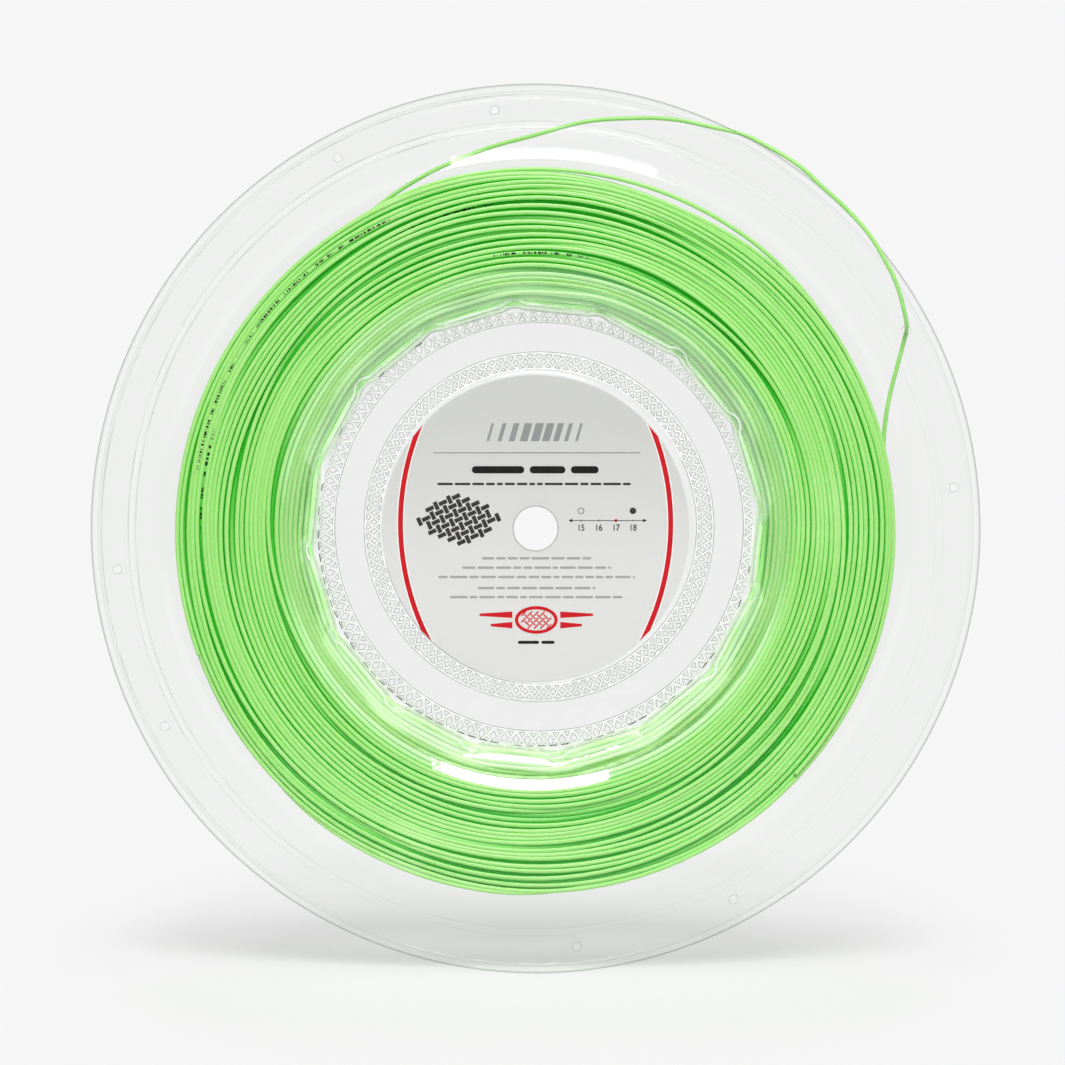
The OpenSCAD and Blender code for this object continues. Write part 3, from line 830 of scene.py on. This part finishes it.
def makeCore(w):
    # the hidden inner layers: a ring that keeps a few strands' depth inside the shells
    line = np.array([64.7, 66, 68, 71, 75, 80, 90, 99, 100.1])
    half = np.maximum(chamberDepth(line, w) - 3.3, 0.25)
    half[-1] -= 1.2
    section = np.concatenate([np.stack([line, half], -1), np.stack([line, -half], -1)[::-1]])
    piece = makeTurned("innerLayers", section)
    paint = Paint("shadedString")
    spot, x, _, z = paint.place()
    near, far, _ = stringLook["hub"]
    hub = 1 - (length(x, z) * (1 / mm)).between(near, far)
    # painted shade: the hidden layers are a darker green than the string, and a painted glow, though they are no
    # lamp, lightens them, more near the hub
    surface = paint.add("BsdfPrincipled", {
        "Base Color": paint.blend(paint.noise(spot, 300), colour(3, 112, 1), colour(14, 148, 6)),
        "Roughness": 0.45, "Emission Strength": 1.0,
        "Emission Color": paint.blend(hub, stringLook["stringGlow"], stringLook["hubGlow"])})
    dress(piece, paint.finish(surface), ["string_pack"])


for faceName, faceSide in (("frontStrands", -1), ("rearStrands", 1)):
    makeStrands(faceName, *faceStrands(winding, faceSide), faceSide, winding, ["string_turns"])
outerPaths = outerStrands(winding, np.random.default_rng(winding["seed"] + 5))
for coilName, coilPaths, tone in (("outerStrands", outerPaths, 0.4),
                                  ("looseTurns", looseStrands(winding, looseTurns), 0.2)):
    makeStrands(coilName, coilPaths, {"tone": tone, "marked": 0, "buriedShade": 0}, 0, winding)
makeCore(winding)


card = {
    "radius": 44.3, "hole": 6.35, "half": 0.17, "ink": 0.012,
    "arcRadius": 73.8, "arcSide": 39.0, "arcWidth": 1.45, "arcEdging": 0.3, "arcMiddle": 1.4,
}
inks = {
    "redInk": colour(203, 8, 24), "whiteInk": colour(246, 246, 246), "blackInk": colour(14, 13, 14),
    "greyInk": colour(146, 148, 148), "paleInk": colour(164, 165, 164), "darkInk": colour(52, 50, 50),
}
cardPrint = {   # mm from the spindle hole's centre: each shape's ink, and then what its function takes
    "bar": [("darkInk", -29.6, 30.1, 21.74, 21.93), ("blackInk", 10.2, 31.4, 2.2, 2.4),
            *(("blackInk", x - 0.08, x + 0.08, 1.9, 2.7) for x in (13.1, 18.2, 28.1))],
    "words": [("blackInk", -18.4, 18.2, 15.9, 18.0, 4), ("darkInk", -28.4, 27.5, 12.5, 13.2, 5),
              ("paleInk", -15.5, 16.1, -8.95, -8.25, 6), ("paleInk", -21.2, 21.8, -11.65, -10.95, 7),
              ("paleInk", -28.1, 28.7, -14.35, -13.65, 8), ("paleInk", -16.7, 17.3, -17.55, -16.85, 9),
              ("paleInk", -24.7, 25.3, -20.15, -19.45, 10), ("blackInk", -5.1, 5.5, -33.3, -32.4, 13)],
    "weave": [("redInk", (0.2, -26.4), (5.1, 3.1), 1.3, 0.42, 45),
              ("darkInk", (-22.2, 2.6), (11.9, 7.4), 2.1, 1.2, 25)],
    "pill": [("redInk", 22.75, 23.65, 1.85, 2.75, 9)],
    "ring": [("redInk", (0.2, -26.4), (6.2, 4.0), (0.84, 0.76), 49),
             ("darkInk", (13.1, 5.1), (0.95, 0.95), 0.75 / 0.95, 33),
             ("darkInk", (28.1, 5.1), (0.95, 0.95), 0.0001, 33)],
    "strip": [("blackInk", [(tip, 2.31), (back, 2.85)], [(tip, 2.29), (back, 1.75)])
              for tip, back in ((9.5, 10.6), (32.1, 31.0))],
}
slantRow = {"count": 9, "left": -14.2, "pitch": 3.2, "low": 25.2, "high": 30.4, "lean": 1.5,
            "wide": (0.7, 1.7)}   # the least width, and how much wider the middle one is
sideWings = {"centre": 0.2, "inner": 6.9, "rows": ((-24.9, 16.4), (-27.9, 13.2)), "half": 0.95,
             "taper": 0.35}
numbers = {"at": ((15, 13.1), (16, 18.2), (17, 23.2), (18, 28.1)), "z": -0.6, "size": 2.565, "narrow": 0.86,
           "bold": 0.045, "thick": 0.004}


class Print:
    # flat plates of ink on the card's front face, gathered by ink
    def __init__(self):
        self.plates = {}

    def strip(self, ink, upper, lower, lift=0.0):
        # a plate between two lines of (x, z) points, as a four-sided tube with two ends; lift stands it
        # prouder than others
        front, back = -card["half"] - card["ink"] - lift, 0.01 - card["half"]
        edges = ((upper, front), (lower, front), (lower, back), (upper, back))
        points = np.stack([np.insert(np.array(line, float), 1, y, 1) for line, y in edges], 1)
        points = points.reshape(-1, 3)
        ends = [[0, 3, 2, 1], len(points) - 4 + np.arange(4)]
        self.plates.setdefault(ink, []).append((points, np.concatenate([ringGrid(len(upper), 4), ends])))

    def bar(self, ink, left, right, low, high):
        self.strip(ink, [(left, high), (right, high)], [(left, low), (right, low)])

    def pill(self, ink, left, right, low, high, count=7):
        # a bar with round ends: its half height is that of a circle near each end
        radius = (high - low) / 2
        turn = np.linspace(0, np.pi / 2, count)
        rise = np.concatenate([radius * np.sin(turn), radius * np.cos(turn)])
        x = np.concatenate([left + radius - radius * np.cos(turn), right - radius + radius * np.sin(turn)])
        middle = (high + low) / 2
        self.strip(ink, np.stack([x, middle + rise], -1), np.stack([x, middle - rise], -1))

    def ring(self, ink, centre, size, inner, count):
        # an ellipse with a hole whose size is a share of its own
        turn = np.linspace(0, 2 * np.pi, count)
        oval = np.stack([np.cos(turn), np.sin(turn)], -1) * size
        self.strip(ink, oval + centre, oval * inner + centre)

    def words(self, ink, left, right, low, high, seed):
        # a row of round-ended bars of chance lengths, as a plain stand-in for small print
        rng = np.random.default_rng(seed)
        size = high - low
        x = left
        while x < right - size:
            end = min(x + size * rng.uniform(2.2, 7.5), right)
            self.pill(ink, x, end, low, high)
            x = end + size * 0.75

    def weave(self, ink, centre, size, pitch, width, tilt):
        # two crossed sets of bars inside an ellipse, each broken where it passes under the other: bar i
        # of one set runs from just past every second crossing to just short of the next but one
        count = int(max(size) / pitch) + 2
        lines = np.arange(-count, count + 1)
        gap = width / 2 + 0.12 * pitch
        for way in (0, 1):
            angle = math.radians(tilt + 90 * way)
            run = np.array([math.cos(angle), math.sin(angle)])
            side = np.array([-run[1], run[0]])
            for i in lines:
                for j in lines[(lines + i + way) % 2 == 0]:
                    ends = np.outer([(j - 1) * pitch + gap, (j + 1) * pitch - gap], run) + side * i * pitch
                    if (np.hypot(*(ends / size).T) <= 1).all():
                        self.strip(ink, ends + centre + side * width / 2, ends + centre - side * width / 2)

    def build(self, paints):
        for ink, plates in self.plates.items():
            points, quads = joined(plates)
            piece = makePiece("card" + ink[0].upper() + ink[1:], points * mm, quads, sharpAngle=30)
            dress(piece, paints[ink])


def makeInkPaint(name, tone):
    paint = Paint(name)
    grain = paint.noise(paint.place()[0], 1400)
    return paint.finish(paint.add("BsdfPrincipled", {
        "Base Color": paint.blend(grain * 0.012, tone, (0.75, 0.75, 0.74, 1)),
        "Roughness": 0.38 + grain * 0.1, "Specular IOR Level": 0.15}))


def makeCard(c):
    hole, out, h = c["hole"] + 0.02, c["radius"], c["half"]
    upper = np.array([(hole, h), (hole + 0.3, h), (out - 0.3, h), (out - 0.04, h), (out, h - 0.04)])
    piece = makeTurned("labelCard", np.concatenate([upper, upper[::-1] * [1, -1]]))
    paint = Paint("coatedCard")
    spot, *_, height = paint.place()
    # the card's tone is darker towards its top
    shade = paint.blend(height.between(-0.02, 0.04), colour(219, 218, 217), colour(200, 200, 197))
    fibre = paint.noise(spot, 700, 4, 0.6)
    surface = paint.add("BsdfPrincipled", {
        "Base Color": paint.blend(fibre * 0.1, shade, colour(232, 232, 230)),
        "Roughness": 0.42 + fibre * 0.12, "Normal": paint.bump(fibre, 0.1, 0.03 * mm)})
    dress(piece, paint.finish(surface), ["label_card"])


def arcLine(c, side, offset):
    # points of a side arc between the two places where it meets the card's edge
    radius = c["arcRadius"] + offset

    def at(turn):
        x = side * (c["arcSide"] - c["arcRadius"] + radius * np.cos(turn))
        return np.stack([x, c["arcMiddle"] + radius * np.sin(turn)], -1)

    turn = np.linspace(-0.6, 0.6, 2401)
    inside = turn[np.hypot(*at(turn).T) < c["radius"] - 0.08]
    return at(np.linspace(inside[0], inside[-1], 81))


def makeCardPrint(c, row, wings):
    sheet = Print()
    half = c["arcWidth"] / 2
    for side in (-1, 1):
        for ink, reach, lift in (("whiteInk", half + c["arcEdging"], 0), ("redInk", half, 0.01)):
            sheet.strip(ink, arcLine(c, side, reach), arcLine(c, side, -reach), lift)
    for i in range(row["count"]):   # slanted bars, the widest in the middle
        x = row["left"] + row["pitch"] * i
        least, more = row["wide"]
        ends = np.array([x, x + least + more * math.sin(math.pi * (i + 0.5) / row["count"]) ** 2])
        sheet.strip("greyInk", np.stack([ends + row["lean"], [row["high"]] * 2], -1),
                    np.stack([ends, [row["low"]] * 2], -1))
    for shape, rows in cardPrint.items():
        for values in rows:
            getattr(sheet, shape)(*values)
    for side in (-1, 1):            # tapered bars beside the oval
        for z, reach in wings["rows"]:
            x = wings["centre"] + side * np.array([wings["inner"], reach])
            rise = wings["half"] * np.array([1, wings["taper"]])
            sheet.strip("redInk", np.stack([x, z + rise], -1)[::side], np.stack([x, z - rise], -1)[::side])
    paints = {name: makeInkPaint(name, tone) for name, tone in inks.items()}
    sheet.build(paints)
    return paints["blackInk"]


def makeNumber(text, x, n, material):
    curve = bpy.data.curves.new("number" + text, "FONT")
    curve.body, curve.align_x, curve.size = text, "CENTER", n["size"] * mm
    curve.extrude, curve.offset = n["thick"] * mm, n["bold"] * mm
    source = addObject("number" + text, curve)
    bpy.context.view_layer.update()
    mesh = bpy.data.meshes.new_from_object(source.evaluated_get(bpy.context.evaluated_depsgraph_get()))
    bpy.data.objects.remove(source)
    flat = np.zeros(len(mesh.vertices) * 3, np.float32)
    mesh.vertices.foreach_get("co", flat)
    across, up, out = flat.reshape(-1, 3).T
    front = (card["half"] + card["ink"]) * mm
    upright = np.stack([across * n["narrow"] + x * mm, -out - front, up + n["z"] * mm], -1)
    mesh.vertices.foreach_set("co", upright.ravel().astype(np.float32))
    dress(addObject("scale" + text, mesh), material)


makeCard(card)
blackPaint = makeCardPrint(card, slantRow, sideWings)
for number, numberX in numbers["at"]:
    makeNumber(str(number), numberX, numbers, blackPaint)
print("card and print made")


weld = {   # rows of cells: how many round the ring, and each cell's corners as (share of a period, radius)
    "centre": (1.0, 0.5),     # mm from the axis, since the tool struck a little off centre
    "inner": (112, [
        [(-0.33, 49.55), (-0.24, 49.8), (0.24, 49.8), (0.33, 49.55), (0, 48.3)],
        [(0.5, 48.72), (0.82, 47.66), (0.5, 46.6), (0.18, 47.66)],
        [(-0.32, 46.1), (0.32, 46.1), (0, 47.1)]]),
    "outer": (116, [
        [(0, 63.25), (0.31, 61.8), (0, 60.35), (-0.31, 61.8)],
        [(0.18, 63.35), (0.5, 62.4), (0.82, 63.35)],
        [(0.2, 59.6), (0.8, 59.6), (0.5, 60.95)]]),
    "channels": (  # the white ways between the cells: periods, radii and shares at both ends, rings
        (112, (46.0, 50.0), (-0.46, 0.68), (45.75, 50.15)),
        (116, (59.5, 63.3), (0.1, 0.86), (59.3,))),
    "borders": (50.5, 58.95), "innerEdge": (45.42, 195, 385),   # mm, and the degrees that the arc spans
    "height": 0.6, "line": 0.052, "border": 0.05, "channel": 0.17, "flatness": 0.35,   # half widths
    "limit": 62.72,           # mm from the axis, where the drum's fold ends what is pressed
    "folds": (0.26, 0.3),     # half widths of the painted highlights, white lines along the drum's two folds
    "traces": {   # lines along the flange's shoulder and lip on each side: (radius, half width)
        -1: [(117.0, 0.2), (124.75, 0.25)], 1: [(116.15, 0.22)]},
    "sheen": (116.1, 0.42),   # a painted sheen: the pale band beside the shoulder's line
    "dashes": (62.78, 0.34, 0.13, 8),   # mm from the axis, half length in periods, half width, chance seed
}


def flatTubes(path, half, w, side):
    # low four-sided bars of a half width along paths, each with a flat face away from the middle plane
    toSide = np.broadcast_to([0.0, float(side), 0.0], path.shape)
    points, quads, caps = sweepTubes(path, half * math.sqrt(2), 4, toSide, turned=0.5)[:3]
    height = np.repeat(path[..., 1].ravel(), 4)
    points[:, 1] = height + (points[:, 1] - height) * w["flatness"]
    return points, quads, caps


def ridge(turn, r, half, w, side, centre=(0, 0), limit=1000):
    # bars along paths of angle and radius, half sunk in the sheet's open face; what would run over the
    # drum's fold stops there
    r = r + 0 * turn
    x, y = centre[0] + r * np.cos(turn), centre[1] + r * np.sin(turn)
    inside = np.minimum(1, limit / np.hypot(x, y))
    return flatTubes(stand(x * inside, y * inside, w["height"] + 0 * r, side) / mm, half, w, side)


def joinRidges(name, found, paint):
    points, quads, caps = joined(found)
    dress(makePiece(name, points * mm, quads, caps, sharpAngle=35), linePaints[paint])
    print(name, len(quads) + len(caps), "faces")


def makeTraces(name, w, side):
    # thin rings on the flange's open face, at the height that the sheet has at each radius
    line = shellLine(shell)
    face = shellFaces(shell, line, np.arange(len(line)), shell["around"], shell["wall"])[:, 0]
    face = face[line[:, 0] > shell["panelEdge"]]
    turn = np.linspace(0, 2 * np.pi, shell["around"] + 1)[None]

    def band(radius, half):
        height = np.interp(radius, np.hypot(face[:, 0], face[:, 1]), face[:, 2])
        return flatTubes(polar(radius, turn, height, side) / mm, half, w, side)

    joinRidges(name + "Traces", [band(*trace) for trace in w["traces"][side]], "flangeTraces")
    if side < 0:
        joinRidges(name + "Sheen", [band(*w["sheen"])], "flangeSheen")


def makeWeld(name, w, side):
    # the pressed cells of both weld rings: each cell's outline is a closed thin ridge on the sheet, and
    # white ribbons run between the cells
    def pressed(turn, r, half, limit=1000):
        return ridge(turn, r, half, w, side, w["centre"], limit)

    circle = np.linspace(0, 2 * np.pi, shell["around"] + 1)[None]
    outlines, ribbons, folds = [], [], []
    for count, cells in (w["inner"], w["outer"]):
        start = np.arange(count)[:, None]
        for cell in cells:
            loop = np.array([*cell, cell[0]])
            loop = np.stack([loop[:-1], (loop[:-1] + loop[1:]) / 2], 1).reshape(-1, 2)
            loop = np.concatenate([loop, [cell[0]]])
            turn = (start + loop[:, 0]) * 2 * np.pi / count
            outlines.append(pressed(turn, loop[:, 1], w["line"], w["limit"]))
    outlines += [pressed(circle, radius, w["border"]) for radius in w["borders"]]
    radius, first, last = w["innerEdge"]
    outlines.append(pressed(np.radians(np.linspace(first, last, 180))[None], radius, w["border"]))
    for count, reach, shares, rings in w["channels"]:
        for way in (-1, 1):
            turn = (np.arange(count)[:, None] + way * np.linspace(*shares, 6)) * 2 * np.pi / count
            ribbons.append(pressed(turn, np.linspace(*reach, 6), w["channel"], w["limit"]))
        ribbons += [pressed(circle, radius, w["channel"]) for radius in rings]
    radius, reach, half, seed = w["dashes"]   # short strokes at the drum's foot, fewer at the top
    count = w["outer"][0]
    turn = 2 * np.pi * np.arange(count) / count
    place = np.arange(count)[np.random.default_rng(seed).random(count) < 0.35 + 0.55 * np.cos(turn - 4.2)]
    turn = (place[:, None] + 0.5 + np.linspace(-reach, reach, 3)) * 2 * np.pi / count
    dashes = ridge(turn, radius, half, w, side)
    # painted highlights: white lines along the drum's two folds, where the bent sheet mirrors the bright studio
    line = shellLine(shell)
    for row, half in zip(foldRows(shell, line), w["folds"]):
        fold = shellFaces(shell, line, np.array([row]), shell["around"], shell["wall"])
        fold = np.concatenate([fold, fold[:, :1]], 1)
        folds.append(flatTubes(stand(fold[..., 0], fold[..., 1], fold[..., 2], side) / mm, half, w, side))
    joinRidges(name + "Weld", outlines, "weldLines" if side < 0 else "rearWeldLines")
    joinRidges(name + "Ribbons", ribbons, "weldRibbons")
    joinRidges(name + "FoldHighlight", folds[:1], "foldHighlight")
    joinRidges(name + "MouthHighlight", folds[1:], "mouthHighlight")
    joinRidges(name + "Foot", [dashes], "footShade")


lineLooks = {   # noise scale, two greys, tint of what shows through, least and most strength, and then
                # the radius where the fold ends it, or the direction in which it is strong
    "weldLines": (160, (140, 142, 141), (104, 107, 106), (0.96, 0.97, 0.96, 1), (0.55, 1.0),
                  weld["limit"]),
    "rearWeldLines": (160, (140, 142, 141), (104, 107, 106), (0.98, 0.99, 0.98, 1), (0.2, 0.6),
                      weld["limit"]),
    "weldRibbons": (200, (248, 249, 248), (253, 253, 253), (1, 1, 1, 1), (0.6, 1.0), weld["limit"]),
    # painted highlights: white lines along the drum's two folds
    "foldHighlight": (90, (248, 249, 248), (253, 253, 253), (1, 1, 1, 1), (0.3, 1.0)),
    "mouthHighlight": (70, (236, 240, 236), (250, 251, 250), (1, 1, 1, 1), (0.0, 0.75)),
    # where the sheet turns up into the drum, short stretches show the dark of the winding behind
    "footShade": (220, (96, 112, 92), (46, 58, 44), (0.9, 0.93, 0.9, 1), (0.9, 0.4)),
    "flangeTraces": (60, (150, 166, 150), (120, 140, 120), (1, 1, 1, 1), (0.04, 0.18), None, 150),
    "flangeSheen": (60, (250, 252, 250), (250, 252, 250), (1, 1, 1, 1), (0.03, 0.14), None, 150),
}


def makeLinePaint(name, scale, first, second, veil, strength, limit=None, towards=None):
    # pressed marks in the sheet: uneven in tone and in how far the sheet behind them shows through, gone
    # past a limiting radius, where the sheet's fold starts, or strong only towards one direction
    paint = Paint(name)
    spot, x, _, z = paint.place()
    uneven = paint.noise(spot, scale, 3, 0.6).between(0.3, 0.7)
    solid = paint.add("BsdfPrincipled", {
        "Base Color": paint.blend(uneven, colour(*first), colour(*second)),
        "Roughness": 0.35 + uneven * 0.1})
    low, high = strength
    share = low + uneven * (high - low)
    radius = length(x, z) * (1 / mm)
    if limit:
        # painted light: the outer weld ring's lines are fainter on the upper half, where the winding shades them
        faint = (z / radius * (1 / mm)).between(0.1, 0.8) * radius.between(54, 58) * 0.4
        share = share * (1 - radius.between(limit - 0.3, limit - 0.12)) * (1 - faint)
    if towards is not None:
        across, up = math.cos(math.radians(towards)) / mm, math.sin(math.radians(towards)) / mm
        share = share * (((x * across + z * up) / radius).between(-0.3, 0.85) * 0.85 + 0.15)
    return paint.finish(paint.mixShaders(share, paint.seeThrough(veil), solid))


linePaints = {name: makeLinePaint(name, *look) for name, look in lineLooks.items()}
for end, side in (("front", -1), ("rear", 1)):
    makeWeld(end, weld, side)
    makeTraces(end, weld, side)


studio = {
    "white": colour(246, 246, 246), "worldLight": 0.26, "ceilingLight": 0.25,
    "cameraSide": 0.05, "ceilingShine": 0.95,
    "softboxSize": (2.7, 2.3), "softboxDistance": 6.0, "softboxSide": 0.25, "softboxLift": 47.6,
    "softboxRadiance": 15.6, "floorColour": 0.785, "floorGlow": 0.51, "floorShine": 1.06,
}


def makeWorld(s):
    # seen directly, mirrored or through glass the world is the pale backdrop, darker on the side that
    # the reel faces and brighter overhead; as light it is an even grey with a little more from above
    world = bpy.data.worlds.new("paleStudio")
    world.use_nodes = True
    scene.world = world
    paint = Paint("paleStudio", world.node_tree)
    rays = paint.add("LightPath")
    seen = rays.out("Is Camera Ray").larger(rays.out("Is Transmission Ray"))
    direction = paint.add("SeparateXYZ", {0: paint.add("TexCoord").out("Generated")})
    behind = direction.out("Y").between(-0.2, 0.5)
    above = direction.out("Z").between(0.2, 0.75)
    overhead = direction.out("Z").between(0.09, 0.32)
    level = s["white"][0]
    mirrored = level * (s["cameraSide"] + (1 - s["cameraSide"]) * behind)
    mirrored = mirrored.larger(overhead * s["ceilingShine"])
    light = s["worldLight"] + above * s["ceilingLight"]
    strength = rays.out("Is Glossy Ray") * (mirrored - light) + light
    strength = seen * (level - strength) + strength
    paint.finish(paint.add("Background", {"Color": (1, 1, 1, 1), "Strength": strength}),
                 "OutputWorld")


def makeSoftbox(s):
    # one large soft lamp above and in front, square to the reel
    width, height = s["softboxSize"]
    data = bpy.data.lights.new("softbox", "AREA")
    data.shape = "RECTANGLE"
    data.size, data.size_y = width, height
    data.energy = s["softboxRadiance"] * math.pi * width * height
    lamp = addObject("softbox", data)
    lift, away = math.radians(s["softboxLift"]), s["softboxDistance"]
    lamp.location = (s["softboxSide"], -math.cos(lift) * away, math.sin(lift) * away)
    lamp.rotation_euler = (math.pi / 2 - lift, 0, 0)


def makeFloor(s):
    # a pale floor that keeps the shadow near the reel and runs out into the backdrop's tone
    side = 12.0
    z = reel["floor"] * mm
    points = np.array([(-side, -side, z), (side, -side, z), (side, side, z), (-side, side, z)])
    floor = makePiece("floor", points, [(0, 1, 2, 3)])
    paint = Paint("paleFloor")
    _, x, y, _ = paint.place()
    distance = length(x, (y - 0.1) * 0.3)
    rays = paint.add("LightPath")
    seen = rays.out("Is Camera Ray").larger(rays.out("Is Glossy Ray"))
    seen = seen.larger(rays.out("Is Transmission Ray"))
    lit = paint.add("BsdfDiffuse", {"Color": (s["floorColour"],) * 3 + (1,)})
    away = distance.between(0.105, 0.165)
    near = tuple(np.multiply(s["white"], s["floorShine"]))
    shown = paint.blend(away, near, s["white"])
    # mirrored, the floor runs out into what the studio shows at its horizon
    ground = length(x, y)
    behind = s["cameraSide"] + (1 - s["cameraSide"]) * (y / ground).between(-0.2, 0.5)
    shown = paint.blend(rays.out("Is Glossy Ray") * ground.between(0.35, 2.2), shown,
                        paint.blend(behind, (0, 0, 0, 1), s["white"]))
    glow = paint.add("Emission", {"Color": shown, "Strength": 1.0})
    far = s["floorGlow"] + (1 - s["floorGlow"]) * away
    floor.data.materials.append(paint.finish(paint.mixShaders(seen * far, lit, glow)))


makeWorld(studio)
makeSoftbox(studio)
makeFloor(studio)
scene.cycles.transparent_max_bounces = 48
scene.view_settings.view_transform = "Standard"
print("studio set")
